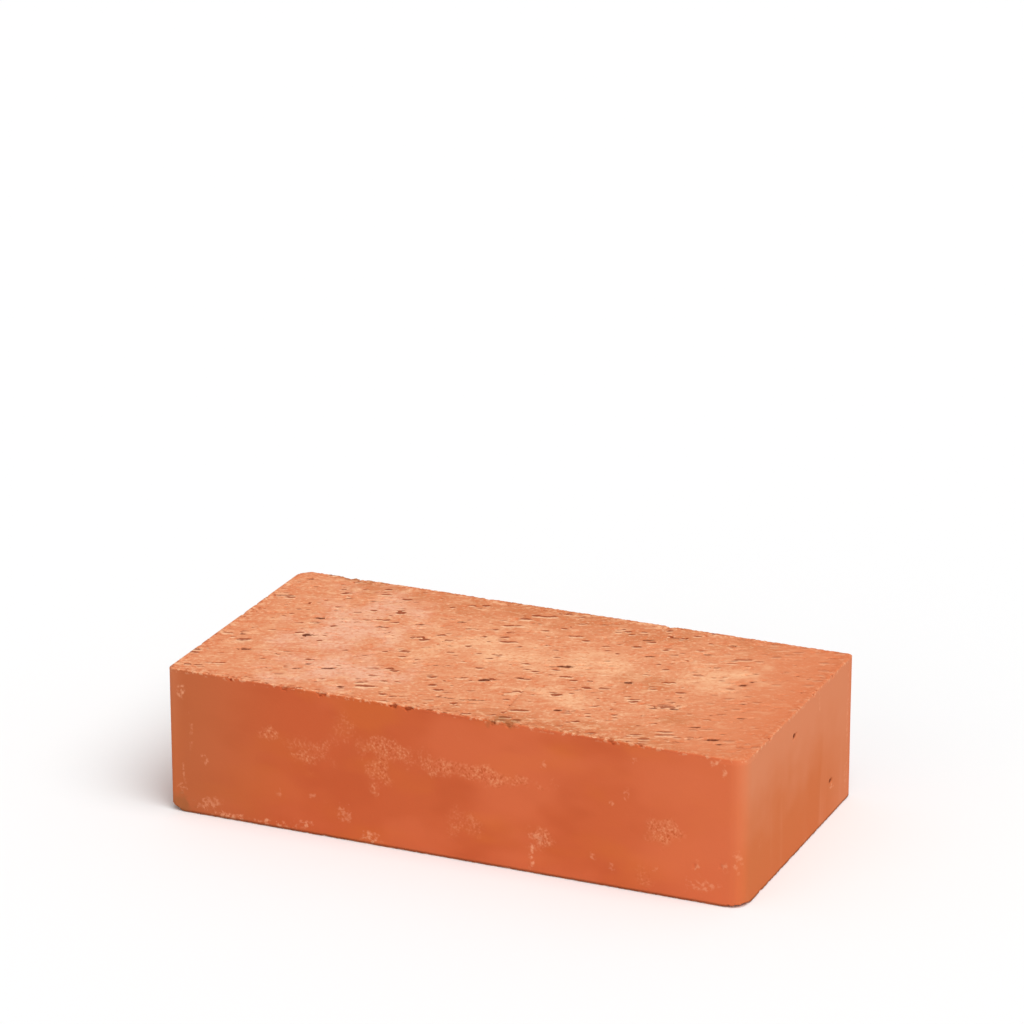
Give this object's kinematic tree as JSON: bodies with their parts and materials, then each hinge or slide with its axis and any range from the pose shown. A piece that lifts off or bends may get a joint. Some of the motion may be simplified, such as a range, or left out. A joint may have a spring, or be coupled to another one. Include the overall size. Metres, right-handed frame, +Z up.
{
  "type": "solid clay brick",
  "caption": "Solid fired-clay building brick with smooth die-rounded upright corners, wire-cut bed faces, crisp arrises and a few knocked edges.",
  "frame": {"origin": "middle of the lower bed face, on the surface that the brick lies on", "axes": "+X along the brick's length towards the header face that shows, +Y across its width from the front stretcher face to the back one, +Z up out of the upper bed face"},
  "size_m": [0.2, 0.1, 0.05],
  "materials": {
    "fired_clay": "matt fired clay, smooth on the sides and torn by the wire on the bed faces"
  },
  "bodies": {
    "root": {"brick": "fired_clay"}
  },
  "joints": []
}
